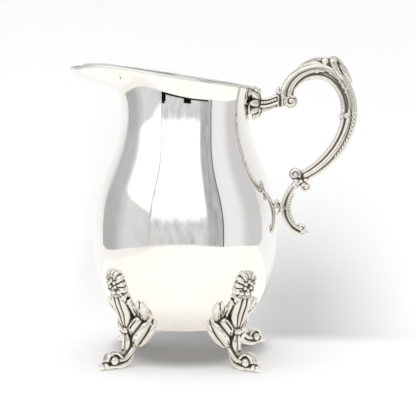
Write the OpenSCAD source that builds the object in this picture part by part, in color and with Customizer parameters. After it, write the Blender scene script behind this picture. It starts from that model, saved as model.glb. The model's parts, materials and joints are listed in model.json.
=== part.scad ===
// Footed silver water pitcher: a plain pear-shaped sheet body with a drawn spout, an ice guard across
// the mouth, a hollow scroll handle on cast brackets, and four cast scroll feet.
// The origin is on the floor, below the middle of the overall length. +Z is up, the spout points to -X
// and the handle to +X.

/* [Body] */
// Height of the underside of the body above the floor
base_z = 27; // [24:1:36]
// Radius of the flat of the underside
base_r = 37; // [28:1:44]
// Radius of the belly at its widest
belly_r = 74; // [62:1:89]
// Height from the underside up to the widest ring
bowl_h = 74; // [60:1:87]
// Height from the widest ring up to the narrowest ring of the neck
shoulder_h = 94; // [78:1:114]
// Radius of the neck at its narrowest
neck_r = 51; // [42:1:62]
// Thickness of the sheet
wall = 1.2; // [0.8:0.1:2]

/* [Mouth] */
// Height from the narrowest ring of the neck up to the middle of the rim
flare_h = 30; // [24:1:38]
// How far the rim stands out past the neck at the sides and the back
flare_out = 5; // [3:0.5:9]
// Rise of the rim toward the spout, per millimetre of length
rim_slope = 0.155; // [0.1:0.005:0.2]
// Distance from the axis of the body to the lip of the spout
spout_reach = 93; // [80:1:108]
// Half angle over which the spout is drawn out of the rim
spout_angle = 30; // [24:1:36]
// How far the lip dips below the slope of the rim
spout_dip = 7; // [3:0.5:10]
// Thickness of the wire round the rim
rim_wire_d = 2.2; // [1.6:0.1:3]
// Rise of the ice guard above the rim at its middle
guard_crown = 3.2; // [1.5:0.1:5]
// Depth of the turned-down back edge of the ice guard
guard_apron = 8; // [5:0.5:14]

/* [Handle] */
// Height of the crest of the grip above the narrowest ring of the neck
crest_h = 36; // [30:1:44]
// Distance from the neck to the outer edge of the grip
handle_reach = 86.5; // [76:1:98]
// Thickness of the grip from inner edge to outer edge, at its thickest
grip_d = 14; // [11:0.5:17]
// Width of the grip across, at its thickest
grip_w = 12.5; // [10:0.5:16]
// Wall of the hollow grip
grip_wall = 1.5; // [1:0.1:2]
// Height of the end of the grip above the widest ring of the belly
grip_end_h = 44; // [37:1:53]

/* [Feet] */
// Distance from the axis of the body to the tip of each toe
toe_reach = 88.5; // [80:1:100]
// Height of the knee shell above the underside of the body
knee_h = 40; // [32:1:44]
// Width of the knee shell
knee_w = 17; // [13:1:22]
// Sideways spread of the side leaves from the middle of each leg
wing_spread = 21; // [16:0.5:25]

/* [Hidden] */

silver = "#d5d2cb";
cast_silver = "#b9b4a9";
guard_silver = "#8e8a82";

belly_z = base_z + bowl_h;
neck_z = belly_z + shoulder_h;
rim_r = neck_r + flare_out;
rim_z = neck_z + flare_h;
tip_r = spout_reach - rim_wire_d / 2;
grip_x = neck_r + handle_reach;
// The overall length runs from the lip to the outer edge of the grip, and its middle is the origin.
axis_x = (spout_reach - grip_x) / 2;

// Fullness of the bowl (2 is an ellipse), and how low the shoulder starts to draw in.
bowl_power = 2.45;
shoulder_power = 1.2;

// Depth that the bowl's curve would reach if the flat underside didn't cut it off, and where it does.
bowl_depth = bowl_h / pow(1 - pow(base_r / belly_r, bowl_power), 1 / bowl_power);
bowl_start = asin(pow(base_r / belly_r, bowl_power / 2));

around = 48;
bowl_rows = 8;
shoulder_rows = 8;
flare_rows = 7;
// The facets gather toward the spout, by this many degrees.
gather = 14;

function mix(a, b, t) = a + (b - a) * t;
function bezier(p, t) = p[0] * pow(1 - t, 3) + 3 * p[1] * t * pow(1 - t, 2)
    + 3 * p[2] * t * t * (1 - t) + p[3] * pow(t, 3);
function unit(v) = v / norm(v);
function turn(i) = 360 * i / around - gather * sin(360 * i / around);

// Radius of the outside of the body at a height z up to the neck.
function skin_r(z) = z >= belly_z
    ? neck_r + (belly_r - neck_r) * (1 + cos(180 * pow(min(1, (z - belly_z) / shoulder_h), shoulder_power))) / 2
    : z <= base_z ? 0
    : belly_r * pow(1 - pow((belly_z - z) / bowl_depth, bowl_power), 1 / bowl_power);

// ---- Body ----

// Share of the spout in the rim at an angle a from the spout, 0 to 1.
function spout_share(a) = exp(-pow((a > 180 ? a - 360 : a) / spout_angle, 2));
function rim_radius(a) = mix(rim_r, tip_r, spout_share(a));
function rim_height(a) = rim_z + rim_slope * rim_radius(a) * cos(a) - spout_dip * pow(spout_share(a), 2);

// The flare from the neck to the rim, as radius and height. The spout runs level before it turns up.
function flare(a, t) =
    let (s = spout_share(a), r = rim_radius(a), h = rim_height(a) - neck_z)
    bezier([[neck_r, neck_z],
            [neck_r, neck_z + h * mix(0.4, 1, s)],
            [mix(neck_r + 0.35 * (r - neck_r), r - 7.5, s), neck_z + h * mix(0.75, 0.46, s)],
            [r, neck_z + h]], t);

function around_axis(rz, a) = [-rz[0] * cos(a), rz[0] * sin(a), rz[1]];
function bowl(t) = [belly_r * pow(sin(t), 2 / bowl_power), belly_z - bowl_depth * pow(cos(t), 2 / bowl_power)];
function shoulder(t) = let (z = belly_z + shoulder_h * t) [skin_r(z), z];

rows = bowl_rows + shoulder_rows + flare_rows;
function outline(i, a) = i < bowl_rows ? bowl(mix(bowl_start, 90, i / bowl_rows))
    : i < bowl_rows + shoulder_rows ? shoulder((i - bowl_rows) / shoulder_rows)
    : flare(a, (i - bowl_rows - shoulder_rows) / (flare_rows - 1));

function next(j) = (j + 1) % around;
function before(j) = (j + around - 1) % around;

skin = [for (i = [0:rows - 1]) [for (j = [0:around - 1]) around_axis(outline(i, turn(j)), turn(j))]];
function outward(i, j) = unit(cross(skin[min(i + 1, rows - 1)][j] - skin[max(i - 1, 0)][j],
                                    skin[i][next(j)] - skin[i][before(j)]));
lining = [for (i = [0:rows - 1]) [for (j = [0:around - 1]) skin[i][j] - wall * outward(i, j)]];

function flat(grid) = [for (row = grid) for (p = row) p];
// Triangles of a closed band of rows whose points start at the index first.
function band(count, first, inside = false) = [for (i = [0:count - 2]) for (j = [0:around - 1])
    let (a = first + i * around + j, b = first + i * around + next(j), c = b + around, d = a + around)
    for (f = inside ? [[a, c, b], [a, d, c]] : [[a, b, c], [a, c, d]]) f];
function fan(centre, first, up) = [for (j = [0:around - 1])
    up ? [centre, first + next(j), first + j] : [centre, first + j, first + next(j)]];

module body_shell() {
    n = rows * around;
    bottom = [0, 0, skin[0][0][2]];
    color(silver) translate([axis_x, 0, 0]) polyhedron(
        points = concat(flat(skin), flat(lining), [bottom, bottom + [0, 0, wall]]),
        faces = concat(band(rows, 0), band(rows, n, true),
            fan(2 * n, 0, true), fan(2 * n + 1, n, false),
            [for (j = [0:around - 1])
                let (a = n - around + j, b = n - around + next(j))
                for (f = [[a, b, b + n], [a, b + n, a + n]]) f]));
}

// The body filled in, for fitting the castings to its outside.
module filled_body() {
    n = rows * around;
    polyhedron(
        points = concat(flat(skin), [[0, 0, skin[0][0][2]], [0, 0, rim_z]]),
        faces = concat(band(rows, 0), fan(n, 0, true), fan(n + 1, n - around, false)));
}

module rim_wire() {
    sides = 6;
    edge = [for (j = [0:around - 1]) (skin[rows - 1][j] + lining[rows - 1][j]) / 2];
    out = [for (j = [0:around - 1]) unit(cross(edge[next(j)] - edge[before(j)], [0, 0, 1]))];
    color(silver) translate([axis_x, 0, 0]) polyhedron(
        points = [for (k = [0:sides - 1]) for (j = [0:around - 1])
            edge[j] + rim_wire_d / 2 * (cos(360 * k / sides) * out[j] + [0, 0, sin(360 * k / sides)])],
        faces = [for (k = [0:sides - 1]) for (j = [0:around - 1])
            let (m = (k + 1) % sides, a = k * around + j, b = k * around + next(j),
                 c = m * around + next(j), d = m * around + j)
            for (f = [[a, c, b], [a, d, c]]) f]);
}

// ---- Ice guard ----

guard_t = 1;
// The plate runs from just behind the lip to the root of the spout, as angles from the spout.
guard_front = 15;
guard_back = 38;
guard_columns = 9;
// How far the middle of the back edge is bowed toward the lip.
guard_bow = 8;

function guard_row(a, drop) = [for (k = [0:guard_columns - 1])
    let (s = 2 * k / (guard_columns - 1) - 1, r = rim_radius(a) - 1.2, narrow = 1 - 0.012 * drop,
         bow = guard_bow * (a - guard_front) / (guard_back - guard_front))
    [-r * cos(a) - bow * (1 - s * s), s * narrow * r * sin(a),
     rim_height(a) - 0.4 + guard_crown * (1 - s * s) - drop]];

module ice_guard() {
    top = concat([for (a = [guard_front:(guard_back - guard_front) / 5:guard_back]) guard_row(a, 0)],
                 [for (f = [0.12, 0.5, 1]) [for (p = guard_row(guard_back, guard_apron * f))
                     p + [1.2 + f, 0, 0]]]);
    m = len(top);
    c = guard_columns;
    n = m * c;
    function away(i, k) = unit(cross(top[min(i + 1, m - 1)][k] - top[max(i - 1, 0)][k],
                                     top[i][min(k + 1, c - 1)] - top[i][max(k - 1, 0)]));
    under = [for (i = [0:m - 1]) [for (k = [0:c - 1]) top[i][k] - guard_t * away(i, k)]];
    rim = concat([for (k = [0:c - 2]) k], [for (i = [0:m - 2]) i * c + c - 1],
                 [for (k = [0:c - 2]) n - 1 - k], [for (i = [0:m - 2]) (m - 1 - i) * c]);
    color(guard_silver) translate([axis_x, 0, 0]) polyhedron(
        points = concat(flat(top), flat(under)),
        faces = concat(
            [for (i = [0:m - 2]) for (k = [0:c - 2]) let (a = i * c + k)
                for (f = [[a, a + 1, a + c + 1], [a, a + c + 1, a + c]]) f],
            [for (i = [0:m - 2]) for (k = [0:c - 2]) let (a = n + i * c + k)
                for (f = [[a, a + c + 1, a + 1], [a, a + c, a + c + 1]]) f],
            [for (e = [0:len(rim) - 1]) let (a = rim[e], b = rim[(e + 1) % len(rim)])
                for (f = [[a, a + n, b + n], [a, b + n, b]]) f]));
}

// ---- Handle ----

ball = 12;

// A limb is a chain of balls, each [x, y, z, radius], blended one into the next.
module limb(balls) {
    for (i = [0:len(balls) - 2]) hull() for (b = [balls[i], balls[i + 1]])
        translate([b[0], b[1], b[2]]) sphere(b[3], $fn = ball);
}

crest_z = neck_z + crest_h;
grip_end_z = belly_z + grip_end_h;
grip_r = grip_d / 2;
// The root of the grip stands on the upper bracket, this far from the neck and above its narrowest ring.
root_x = neck_r + 29.5;
root_z = neck_z + 15;
end_x = belly_r + 16;
bow_x = grip_x - grip_r;
bow_z = mix(crest_z, grip_end_z, 0.38);
top_x = mix(root_x, bow_x, 0.48);

grip_spans = [
    [[root_x, root_z], [root_x, root_z + 8], [root_x + 9, crest_z - 1], [top_x, crest_z - 0.5]],
    [[top_x, crest_z - 0.5], [top_x + 15, crest_z - 0.5], [bow_x, bow_z + 17], [bow_x, bow_z]],
    [[bow_x, bow_z], [bow_x, bow_z - 24], [end_x + 20, grip_end_z + 7], [end_x, grip_end_z]]];
grip_steps = 5;
grip_n = len(grip_spans) * grip_steps;
// Half thickness along the grip, as a share of the thickest: root, top, bow and end.
grip_taper = [0.8, 0.98, 1, 0.66];

function grip_at(i) = let (s = min(floor(i / grip_steps), len(grip_spans) - 1), t = i / grip_steps - s)
    let (p = bezier(grip_spans[s], t)) [p[0], 0, p[1], grip_r * mix(grip_taper[s], grip_taper[s + 1], t)];
grip = [for (i = [0:grip_n]) grip_at(i)];
root_volute = [root_x + 3.5, 0, root_z - 4, 5.4];
end_volute = [end_x - 2.4, 0, grip_end_z + 3.6, 4.9];

module widened() scale([1, grip_w / grip_d, 1]) children();

module grip_outside() widened() {
    limb(grip);
    limb([root_volute, grip[0]]);
    limb([end_volute, grip[grip_n]]);
}

// The half of the grip on one side, hollow between the two ends.
module grip_half() {
    color(cast_silver) translate([axis_x, 0, 0]) intersection() {
        difference() {
            grip_outside();
            widened() limb([for (i = [1:grip_n - 1]) [grip[i][0], 0, grip[i][2], grip[i][3] - grip_wall]]);
            filled_body();
        }
        cube([2 * grip_x, grip_w, 2 * crest_z]);
    }
}

module handle_scroll_front() mirror([0, 1, 0]) grip_half();
module handle_scroll_back() grip_half();

// Stem from the neck to the collar under the grip, with the leaf that clasps the neck.
bracket_z = neck_z + 8.5;
collar_x = root_x - 4;

module handle_upper_bracket() {
    leaf_x = neck_r + 1.5;
    color(cast_silver) translate([axis_x, 0, 0]) difference() {
        union() {
            for (y = [-1, 1]) {
                limb([[leaf_x, 0, bracket_z, 6.5], [leaf_x, 4 * y, bracket_z + 7, 3.4]]);
                limb([[leaf_x, 0, bracket_z, 6.5], [leaf_x - 0.5, 4 * y, bracket_z - 8, 2.8]]);
                limb([[leaf_x, 0, bracket_z, 6.5], [leaf_x - 1.5, 11 * y, bracket_z, 2.6]]);
            }
            limb([[leaf_x, 0, bracket_z, 6.5], [neck_r + 9, 0, bracket_z + 1, 5.6],
                  [collar_x - 4, 0, bracket_z + 3.6, 5], [collar_x, 0, bracket_z + 4.6, 6.4]]);
        }
        filled_body();
        grip_outside();
    }
}

module handle_thumb_leaf() {
    crown = [top_x + 14, 0, crest_z + 7.6, 4];
    color(cast_silver) translate([axis_x, 0, 0]) difference() {
        union() {
            limb([[top_x - 12, 0, crest_z + 2.5, 3], [top_x - 2, 0, crest_z + 5.4, 3], crown,
                  [crown[0] + 5, 0, crest_z + 1.5, 4], [crown[0] + 11, 0, crest_z - 5.5, 3.6]]);
            for (y = [-1, 1]) {
                limb([crown, crown + [-1, 5 * y, -0.6, -1]]);
                limb([[top_x - 4, 0, crest_z + 4, 3.4], [top_x + 2, 6 * y, crest_z + 1.6, 2.8]]);
            }
        }
        grip_outside();
    }
}

// Reversed C-scroll that stands off the belly on a short neck, below the end of the grip.
module handle_lower_bracket() {
    mid_z = belly_z + 20;
    back_x = skin_r(mid_z) + 7;
    c = 3.1;
    color(cast_silver) translate([axis_x, 0, 0]) difference() {
        union() {
            limb([[end_x + 7, 0, grip_end_z - 6, 4], [end_x + 1.5, 0, grip_end_z - 4.5, 4],
                  [mix(back_x, end_x, 0.6), 0, mix(mid_z, grip_end_z, 0.64), c],
                  [back_x + 1, 0, mid_z + 6, c], [back_x, 0, mid_z, c], [back_x + 0.5, 0, mid_z - 5.5, c],
                  [back_x + 3.4, 0, mid_z - 11.3, c], [back_x + 7.7, 0, mid_z - 16.3, c],
                  [back_x + 14, 0, mid_z - 19.4, 2.8], [back_x + 19, 0, mid_z - 19.6, 2.2]]);
            limb([[back_x + 12, 0, mid_z - 19, 2.6], [back_x + 13.7, 0, mid_z - 15.8, 3.4]]);
            limb([[back_x, 0, mid_z, c], [back_x - 6, 0, mid_z, 4.6]]);
            limb([[back_x - 5.6, 0, mid_z + 4, 2.8], [back_x - 5.6, 0, mid_z - 4, 2.8]]);
        }
        filled_body();
        grip_outside();
    }
}

// ---- Feet ----

knee_z = base_z + knee_h;

// A ball on the skin of the body: sideways from the middle of the leg, at height z, lifted off the skin.
function on_skin(side, z, lift, r) =
    let (d = skin_r(z) + lift) [sqrt(pow(d, 2) - pow(side, 2)), side, z, r];

module leg_limbs() {
    half = knee_w / 2;
    // The shin stands below the turn of the bowl, and the foot runs out from it along the floor.
    shin = [belly_r - 19.5, 0, base_z - 3, 5.4];
    toe = [toe_reach - 3.5, 0, 3.1, 3.5];
    limb([on_skin(0, knee_z - 5, 0.6, 5), on_skin(0, base_z + 20, 0.8, 4.6),
          on_skin(0, base_z + 11, 1.5, 5), shin, [belly_r - 18.5, 0, base_z - 12, 5.2],
          [belly_r - 14, 0, 9.4, 5], [belly_r - 8, 0, 4.8, 5.4],
          [toe_reach - 15, 0, 5, 5.6], [toe_reach - 9, 0, 3.6, 4], toe]);
    // Leaf down the front of the shin
    limb([[belly_r - 15, 0, base_z + 0.5, 3.4], [belly_r - 14, 0, base_z - 9, 3],
          [belly_r - 14, 0, base_z - 16, 2.6]]);
    // Shell on the knee, as a crown of lobes round a boss
    limb([on_skin(0, knee_z + 5, 0, 6), on_skin(0, knee_z - 4, 0.5, 5.6)]);
    for (y = [-1, 1]) {
        limb([on_skin(0, knee_z + 1, 0, 5.6), on_skin(y * (half - 3.6), knee_z + 1, -0.2, 4.2)]);
        // Side leaves that spread along the belly and curl at their tips
        limb([shin + [0, 3 * y, 0, 0], on_skin(y * wing_spread * 0.5, base_z + 6, 1.2, 4.4),
              on_skin(y * (wing_spread - 4), base_z + 13, 0.8, 3.4),
              on_skin(y * wing_spread, base_z + 20, 0.8, 3.4)]);
    }
}

module leg(bearing) {
    color(cast_silver) translate([axis_x, 0, 0]) difference() {
        rotate([0, 0, bearing]) difference() {
            leg_limbs();
            translate([0, -2 * wing_spread, -base_z]) cube([2 * toe_reach, 4 * wing_spread, base_z]);
        }
        filled_body();
    }
}

module leg_front_left() leg(-135);
module leg_front_right() leg(-45);
module leg_back_left() leg(135);
module leg_back_right() leg(45);

body_shell();
rim_wire();
ice_guard();
handle_upper_bracket();
handle_scroll_front();
handle_scroll_back();
handle_thumb_leaf();
handle_lower_bracket();
leg_front_left();
leg_front_right();
leg_back_left();
leg_back_right();
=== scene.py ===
import json
import math

import bmesh
import bpy
import numpy as np
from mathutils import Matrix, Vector

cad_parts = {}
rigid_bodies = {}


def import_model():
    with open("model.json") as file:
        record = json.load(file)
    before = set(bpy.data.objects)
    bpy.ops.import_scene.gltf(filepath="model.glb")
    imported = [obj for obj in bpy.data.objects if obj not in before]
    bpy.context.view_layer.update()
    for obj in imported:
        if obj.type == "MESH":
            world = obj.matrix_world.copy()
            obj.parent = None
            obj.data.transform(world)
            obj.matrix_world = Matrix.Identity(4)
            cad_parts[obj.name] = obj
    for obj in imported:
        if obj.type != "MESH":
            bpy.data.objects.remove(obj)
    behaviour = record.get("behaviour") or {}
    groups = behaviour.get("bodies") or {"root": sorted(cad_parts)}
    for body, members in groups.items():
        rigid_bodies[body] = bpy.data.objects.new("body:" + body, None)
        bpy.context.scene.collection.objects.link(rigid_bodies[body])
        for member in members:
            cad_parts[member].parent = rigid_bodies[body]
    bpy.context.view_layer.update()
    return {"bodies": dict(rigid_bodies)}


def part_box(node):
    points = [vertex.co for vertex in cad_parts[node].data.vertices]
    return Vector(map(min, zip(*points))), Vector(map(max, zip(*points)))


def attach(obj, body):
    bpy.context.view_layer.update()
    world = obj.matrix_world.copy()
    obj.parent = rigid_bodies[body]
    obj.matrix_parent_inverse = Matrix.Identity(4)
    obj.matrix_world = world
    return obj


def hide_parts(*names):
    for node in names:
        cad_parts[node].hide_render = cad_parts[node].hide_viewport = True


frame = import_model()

# All sizes below are in millimetres about the axis of the body; pieces are scaled to metres last.
MM = 0.001

# ---- Sizes of the body, as the CAD has them ----

shell_low, shell_high = (np.array(corner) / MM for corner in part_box("body_shell"))
belly_r = (shell_high[1] - shell_low[1]) / 2
axis_x = shell_high[0] - belly_r
base_z = shell_low[2]
base_r = 37
bowl_h = 74
shoulder_h = 94
neck_r = 51
wall = 1.2
flare_h = 30
rim_r = neck_r + 5
rim_slope = 0.155
tip_r = 91.9
spout_angle = 30
spout_dip = 7
wire_r = 1.1
bowl_power = 2.45
shoulder_power = 1.2
belly_z = base_z + bowl_h
neck_z = belly_z + shoulder_h
rim_z = neck_z + flare_h
bowl_depth = bowl_h / (1 - (base_r / belly_r) ** bowl_power) ** (1 / bowl_power)
crest_z = neck_z + 36
lip_run = 7.5  # how far the tip of the spout runs level before it ends
crowd = 14  # degrees by which the columns of the body crowd towards the spout
columns = 288
bowl_rows, shoulder_rows, flare_rows = 46, 52, 34
floor_rings = (0.12, 0.4, 0.7, 0.9, 0.97)  # shares of the radius of the flat bottom

body = next(iter(frame["bodies"]))


def mix(a, b, t):
    """a at t = 0 and b at t = 1."""
    return a + (b - a) * t


def smooth(t):
    """0 to 1 with soft ends."""
    t = np.clip(t, 0, 1)
    return t * t * (3 - 2 * t)


def skin_r(z):
    """Radius of the outside of the body at a height up to the neck."""
    z = np.asarray(z, float)
    up = np.clip((z - belly_z) / shoulder_h, 0, 1)
    down = np.clip((belly_z - z) / bowl_depth, 0, 1)
    shoulder = neck_r + (belly_r - neck_r) * (1 + np.cos(np.pi * up ** shoulder_power)) / 2
    bowl = belly_r * np.clip(1 - down ** bowl_power, 0, 1) ** (1 / bowl_power)
    return np.where(z > belly_z, shoulder, bowl)


def on_skin(side, z, lift):
    """A point beside the middle of a leg, at a height, lifted off the outside of the body."""
    return math.sqrt((float(skin_r(z)) + lift) ** 2 - side * side), side, z


def spout_share(a):
    """How much of the rim is spout, at a bearing from the middle of the spout."""
    a = (a + 180) % 360 - 180
    return np.exp(-((a / spout_angle) ** 2))


def rim_radius(a):
    return mix(rim_r, tip_r, spout_share(a))


def rim_height(a):
    return rim_z + rim_slope * rim_radius(a) * np.cos(np.radians(a)) - spout_dip * spout_share(a) ** 2


def bezier(points, t):
    """A point of a curve through four handles."""
    return (points[0] * (1 - t) ** 3 + 3 * points[1] * t * (1 - t) ** 2
            + 3 * points[2] * t * t * (1 - t) + points[3] * t ** 3)


# ---- Meshes ----


def add(name, data):
    """A new object in the scene."""
    made = bpy.data.objects.new(name, data)
    bpy.context.scene.collection.objects.link(made)
    return made


def piece(name, points, faces, material, node, recess=None):
    """A finished piece that stands for a CAD node, from points about the axis of the body."""
    mesh = bpy.data.meshes.new(name)
    at = (np.asarray(points, float) + (axis_x, 0, 0)) * MM
    mesh.from_pydata(at.tolist(), [], [list(f) for f in faces])
    if recess is not None:
        mesh.attributes.new("recess", "FLOAT", "POINT").data.foreach_set("value", recess.astype(np.float32))
    mesh.materials.append(material)
    mesh.validate()
    # The faces have to look outward
    whole = bmesh.new()
    whole.from_mesh(mesh)
    if whole.calc_volume(signed=True) < 0:
        mesh.flip_normals()
    whole.free()
    mesh.shade_smooth()
    made = add(name, mesh)
    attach(made, body)
    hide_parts(node)
    return made


def band(first, second):
    """Quads between two rings of point numbers."""
    return [(a, b, c, d) for a, b, c, d in zip(first, np.roll(first, -1), np.roll(second, -1), second)]


def outward(grid):
    """Unit normals of a grid of rows round the axis."""
    along = np.gradient(grid, axis=0)
    across = np.roll(grid, -1, axis=1) - np.roll(grid, 1, axis=1)
    n = np.cross(along, across)
    return n / np.linalg.norm(n, axis=2, keepdims=True)


def body_rows():
    """Rows of points up the outside of the body, from the flat underside to the lip."""
    turn = np.arange(columns) * 360 / columns
    a = turn - crowd * np.sin(np.radians(turn))
    round_x, round_y = -np.cos(np.radians(a)), np.sin(np.radians(a))
    start = math.asin((base_r / belly_r) ** (bowl_power / 2))
    rows = []
    for t in np.linspace(start, math.pi / 2, bowl_rows)[:-1]:
        rows.append((belly_r * math.sin(t) ** (2 / bowl_power),
                     belly_z - bowl_depth * abs(math.cos(t)) ** (2 / bowl_power)))
    for z in belly_z + shoulder_h * np.linspace(0, 1, shoulder_rows)[:-1]:
        rows.append((float(skin_r(z)), z))
    share, r, h = spout_share(a), rim_radius(a), rim_height(a) - neck_z
    for t in np.linspace(0, 1, flare_rows):
        rows.append((bezier([neck_r, neck_r, mix(neck_r + 0.35 * (r - neck_r), r - lip_run, share), r], t),
                     bezier([neck_z, neck_z + h * mix(0.4, 1, share), neck_z + h * mix(0.75, 0.46, share),
                             neck_z + h], t)))
    return np.array([np.stack([r * round_x, r * round_y, np.broadcast_to(z, a.shape)], axis=1)
                     for r, z in rows])


def make_shell(material):
    """The body: outside, lining and flat bottom. Gives back the middle line of its lip."""
    skin = body_rows()
    lining = skin - wall * outward(skin)
    lining[0, :, 2] = base_z + wall
    rings = [skin[0] * (k, k, 1) for k in floor_rings]
    floor = [lining[0] * (k, k, 1) for k in floor_rings[::-1]]
    layers = [*rings, *skin, *lining[::-1], *floor]
    points = np.concatenate(layers)
    numbers = np.arange(len(points)).reshape(len(layers), columns)
    faces = [f for low, high in zip(numbers[:-1], numbers[1:]) for f in band(low, high)]
    centre = len(points)
    points = np.vstack([points, [0, 0, base_z], [0, 0, base_z + wall]])
    for j in range(columns):
        k = (j + 1) % columns
        faces.append((centre, numbers[0][k], numbers[0][j]))
        faces.append((centre + 1, numbers[-1][j], numbers[-1][k]))
    piece("pitcher_body", points, faces, material, "body_shell")
    return (skin[-1] + lining[-1]) / 2


def make_wire(edge, material):
    """Round wire along the lip."""
    sides = 14
    along = np.roll(edge, -1, axis=0) - np.roll(edge, 1, axis=0)
    out = np.cross(along, (0, 0, 1))
    out /= np.linalg.norm(out, axis=1, keepdims=True)
    points = np.concatenate([edge + wire_r * (math.cos(turn) * out + math.sin(turn) * np.array([0, 0, 1]))
                             for turn in np.arange(sides) * 2 * math.pi / sides])
    numbers = np.arange(len(points)).reshape(sides, columns)
    faces = [tuple(reversed(f)) for k in range(sides) for f in band(numbers[k], numbers[(k + 1) % sides])]
    piece("rim_roll", points, faces, material, "rim_wire")


def make_guard(material):
    """Arched plate over the root of the spout, with softened edges and a turned-down back edge."""
    front, back = 15, 38  # degrees from the middle of the spout
    bow_depth, crown, apron, thick, inset, sink = 8, 3.2, 8, 1, 1.2, 0.4
    curl = (0.06, 0.15, 0.3, 0.5, 0.75, 1)
    s = np.linspace(-1, 1, 49)

    def row(a, drop, x):
        r = rim_radius(a) - inset
        bow = bow_depth * (a - front) / (back - front)
        return np.stack([-r * math.cos(math.radians(a)) - bow * (1 - s * s) + x,
                         s * (1 - 0.012 * drop) * r * math.sin(math.radians(a)),
                         rim_height(a) - sink + crown * (1 - s * s) - drop], axis=1)

    top = np.array([row(a, 0, 0) for a in np.linspace(front, back, 22)]
                   + [row(back, apron * f, 1.2 * min(1, 5 * f) + f) for f in curl])
    n = np.cross(np.gradient(top, axis=1), np.gradient(top, axis=0))
    n /= np.linalg.norm(n, axis=2, keepdims=True)
    n *= np.sign(n[:1, :, 2:3].mean())
    under = top - thick * n
    rows, count = top.shape[:2]
    points = np.concatenate([top.reshape(-1, 3), under.reshape(-1, 3)])
    at = np.arange(rows * count).reshape(rows, count)
    faces = []
    for i in range(rows - 1):
        for k in range(count - 1):
            quad = (at[i, k], at[i, k + 1], at[i + 1, k + 1], at[i + 1, k])
            faces += [quad, tuple(q + rows * count for q in reversed(quad))]
    rim = [*at[0, :-1], *at[:-1, -1], *at[-1, :0:-1], *at[:0:-1, 0]]
    for a, b in zip(rim, rim[1:] + rim[:1]):
        faces.append((b, a, a + rows * count, b + rows * count))
    made = piece("spout_ice_guard", points, faces, material, "ice_guard")
    soften = made.modifiers.new("soften", "BEVEL")
    soften.width, soften.segments = 0.3 * MM, 2
    soften.limit_method, soften.angle_limit = "ANGLE", math.radians(50)


# ---- Castings: metal built up in a box of small cells, then skinned ----

FAR = 9.0  # distance held by a cell with no metal near it
EDGE = 0.4  # distance held by the outermost cells, so that every surface closes
crumb = 400  # a loose bit of fewer points is left out
fine_hollow, broad_hollow = 0.7, 1.7  # sizes of the recesses that hold tarnish


def merge(a, b, soft):
    """The smaller of two distances, with a fillet."""
    h = np.clip(0.5 + 0.5 * (b - a) / soft, 0, 1)
    return b + (a - b) * h - soft * h * (1 - h)


def along(points, steps):
    """Points of a smooth curve through the given rows of numbers."""
    p = np.asarray(points, float)
    p = np.vstack([2 * p[0] - p[1], p, 2 * p[-1] - p[-2]])
    t = np.linspace(0, 1, steps, endpoint=False)[:, None]
    spans = [0.5 * (2 * b + (c - a) * t + (2 * a - 5 * b + 4 * c - d) * t ** 2
                    + (3 * b - a - 3 * c + d) * t ** 3)
             for a, b, c, d in zip(p[:-3], p[1:-2], p[2:-1], p[3:])]
    return np.vstack([*spans, p[-2:-1]])


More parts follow.
